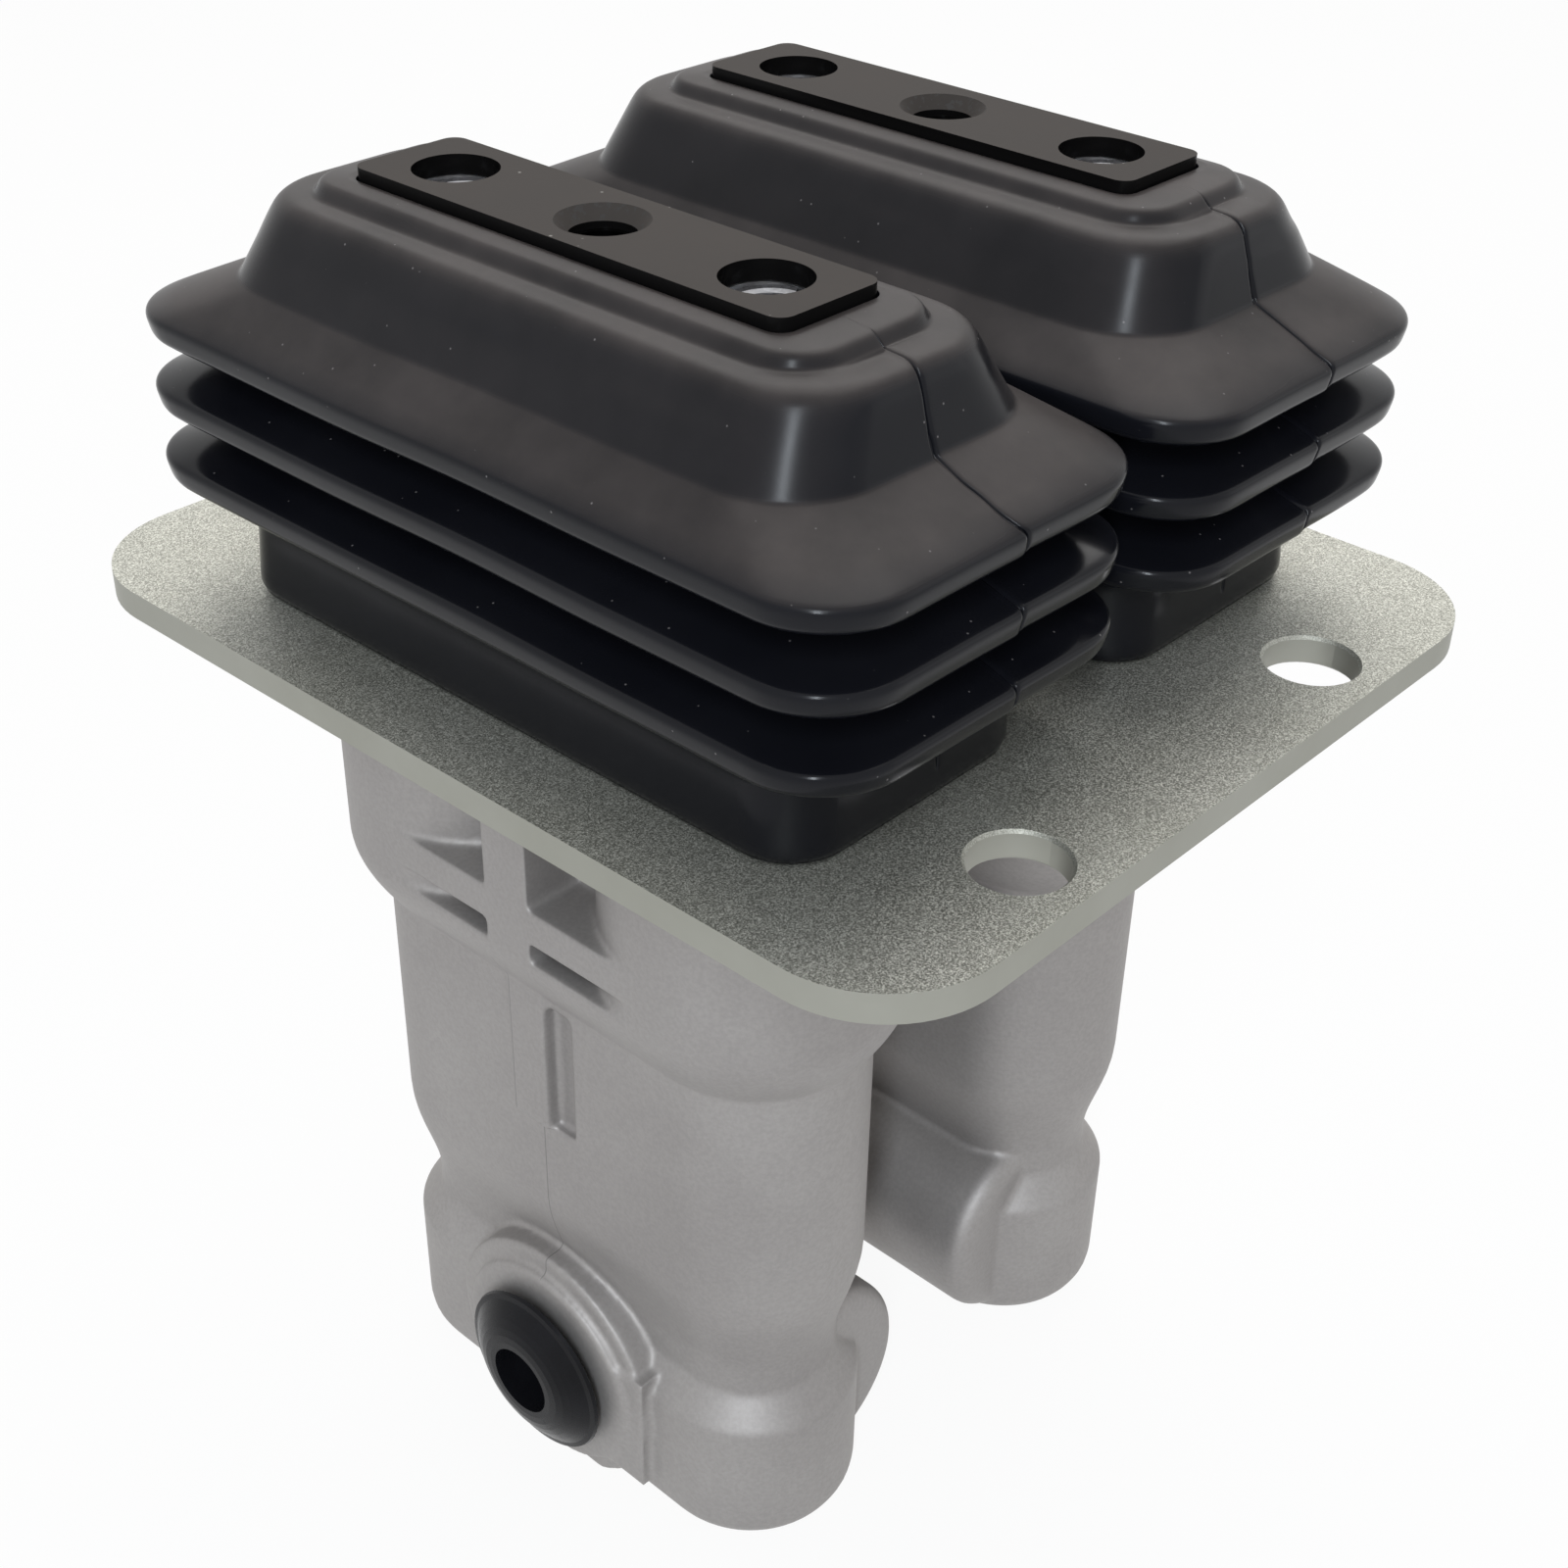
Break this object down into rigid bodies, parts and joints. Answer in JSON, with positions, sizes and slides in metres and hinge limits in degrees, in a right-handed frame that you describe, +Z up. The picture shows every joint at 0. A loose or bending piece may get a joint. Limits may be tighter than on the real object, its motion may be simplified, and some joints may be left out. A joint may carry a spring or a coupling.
{
  "type": "foot pedal valve",
  "caption": "Twin foot pedal valve: rocking pedal bars in rubber bellows on a bolt-down plate, over cast valve blocks that each hold a pair of spools.",
  "frame": {"origin": "centre of the four mounting holes on the plate's underside", "axes": "+Z up to the pedals, +Y towards the toe end of the pedals, X across the two pedals"},
  "size_m": [0.125, 0.147, 0.1876],
  "materials": {
    "plate": "zinc plated, fine sparkling grain",
    "casting": "as-cast satin",
    "cap_plastic": "moulded black",
    "bracket_iron": "machined cast iron",
    "screw_steel": "black oxide",
    "boot_rubber": "satin black",
    "pin_steel": "ground",
    "rocker_steel": "machined",
    "bush_bronze": "plain",
    "bar_paint": "black satin paint",
    "nut_steel": "zinc plated",
    "guide_alloy": "turned",
    "seal_rubber": "matte",
    "piston_brass": "turned",
    "spring_steel": "drawn wire"
  },
  "bodies": {
    "root": {"mounting_plate": "plate", "left_valve_body": "casting", "left_port_cap": "cap_plastic", "left_pedal_bracket": "bracket_iron", "left_bracket_screws": "screw_steel", "left_boot": "boot_rubber", "left_pivot_pin": "pin_steel", "left_pin_clips": "screw_steel", "left_rod_guides": "guide_alloy", "left_guide_o_rings": "seal_rubber", "left_rod_wipers": "seal_rubber", "left_toe_return_spring": "spring_steel", "left_heel_return_spring": "spring_steel", "left_toe_control_spring": "spring_steel", "left_heel_control_spring": "spring_steel", "right_valve_body": "casting", "right_port_cap": "cap_plastic", "right_pedal_bracket": "bracket_iron", "right_bracket_screws": "screw_steel", "right_boot": "boot_rubber", "right_pivot_pin": "pin_steel", "right_pin_clips": "screw_steel", "right_rod_guides": "guide_alloy", "right_guide_o_rings": "seal_rubber", "right_rod_wipers": "seal_rubber", "right_toe_return_spring": "spring_steel", "right_heel_return_spring": "spring_steel", "right_toe_control_spring": "spring_steel", "right_heel_control_spring": "spring_steel"},
    "left_pedal": {"left_rocker": "rocker_steel", "left_pedal_block": "rocker_steel", "left_pivot_bushes": "bush_bronze", "left_pedal_bar": "bar_paint", "left_adjusting_screws": "screw_steel", "left_lock_nuts": "nut_steel"},
    "left_toe_rod": {"left_toe_push_rod": "pin_steel", "left_toe_piston": "piston_brass"},
    "left_toe_spool_set": {"left_toe_spool": "pin_steel", "left_toe_spring_seat": "nut_steel"},
    "left_heel_rod": {"left_heel_push_rod": "pin_steel", "left_heel_piston": "piston_brass"},
    "left_heel_spool_set": {"left_heel_spool": "pin_steel", "left_heel_spring_seat": "nut_steel"},
    "right_pedal": {"right_rocker": "rocker_steel", "right_pedal_block": "rocker_steel", "right_pivot_bushes": "bush_bronze", "right_pedal_bar": "bar_paint", "right_adjusting_screws": "screw_steel", "right_lock_nuts": "nut_steel"},
    "right_toe_rod": {"right_toe_push_rod": "pin_steel", "right_toe_piston": "piston_brass"},
    "right_toe_spool_set": {"right_toe_spool": "pin_steel", "right_toe_spring_seat": "nut_steel"},
    "right_heel_rod": {"right_heel_push_rod": "pin_steel", "right_heel_piston": "piston_brass"},
    "right_heel_spool_set": {"right_heel_spool": "pin_steel", "right_heel_spring_seat": "nut_steel"}
  },
  "joints": [
    {"name": "left_pedal_tilt", "type": "hinge", "parent": "root", "child": "left_pedal", "pos_m": [-0.03025, 0, 0.028], "axis": [1, 0, 0], "range_deg": [-12, 12], "stiffness_Nm_per_rad": 8, "deforming": ["left_boot"]},
    {"name": "left_toe_rod_slide", "type": "slide", "parent": "root", "child": "left_toe_rod", "axis": [0, 0, 1], "range_m": [-0.0054, 0.0054], "deforming": ["left_toe_return_spring", "left_toe_control_spring"]},
    {"name": "left_toe_spool_slide", "type": "slide", "parent": "root", "child": "left_toe_spool_set", "axis": [0, 0, 1], "range_m": [-0.0012, 0.0012]},
    {"name": "left_heel_rod_slide", "type": "slide", "parent": "root", "child": "left_heel_rod", "axis": [0, 0, 1], "range_m": [-0.0054, 0.0054], "deforming": ["left_heel_return_spring", "left_heel_control_spring"]},
    {"name": "left_heel_spool_slide", "type": "slide", "parent": "root", "child": "left_heel_spool_set", "axis": [0, 0, 1], "range_m": [-0.0012, 0.0012]},
    {"name": "right_pedal_tilt", "type": "hinge", "parent": "root", "child": "right_pedal", "pos_m": [0.03025, 0, 0.028], "axis": [1, 0, 0], "range_deg": [-12, 12], "stiffness_Nm_per_rad": 8, "deforming": ["right_boot"]},
    {"name": "right_toe_rod_slide", "type": "slide", "parent": "root", "child": "right_toe_rod", "axis": [0, 0, 1], "range_m": [-0.0054, 0.0054], "deforming": ["right_toe_return_spring", "right_toe_control_spring"]},
    {"name": "right_toe_spool_slide", "type": "slide", "parent": "root", "child": "right_toe_spool_set", "axis": [0, 0, 1], "range_m": [-0.0012, 0.0012]},
    {"name": "right_heel_rod_slide", "type": "slide", "parent": "root", "child": "right_heel_rod", "axis": [0, 0, 1], "range_m": [-0.0054, 0.0054], "deforming": ["right_heel_return_spring", "right_heel_control_spring"]},
    {"name": "right_heel_spool_slide", "type": "slide", "parent": "root", "child": "right_heel_spool_set", "axis": [0, 0, 1], "range_m": [-0.0012, 0.0012]}
  ],
  "couplings": [
    {"joint": "left_toe_rod_slide", "follows": "left_pedal_tilt", "m_per_rad": 0.025},
    {"joint": "left_toe_spool_slide", "follows": "left_pedal_tilt", "m_per_rad": 0.005},
    {"joint": "left_heel_rod_slide", "follows": "left_pedal_tilt", "m_per_rad": -0.025},
    {"joint": "left_heel_spool_slide", "follows": "left_pedal_tilt", "m_per_rad": -0.005},
    {"joint": "right_toe_rod_slide", "follows": "right_pedal_tilt", "m_per_rad": 0.025},
    {"joint": "right_toe_spool_slide", "follows": "right_pedal_tilt", "m_per_rad": 0.005},
    {"joint": "right_heel_rod_slide", "follows": "right_pedal_tilt", "m_per_rad": -0.025},
    {"joint": "right_heel_spool_slide", "follows": "right_pedal_tilt", "m_per_rad": -0.005}
  ]
}
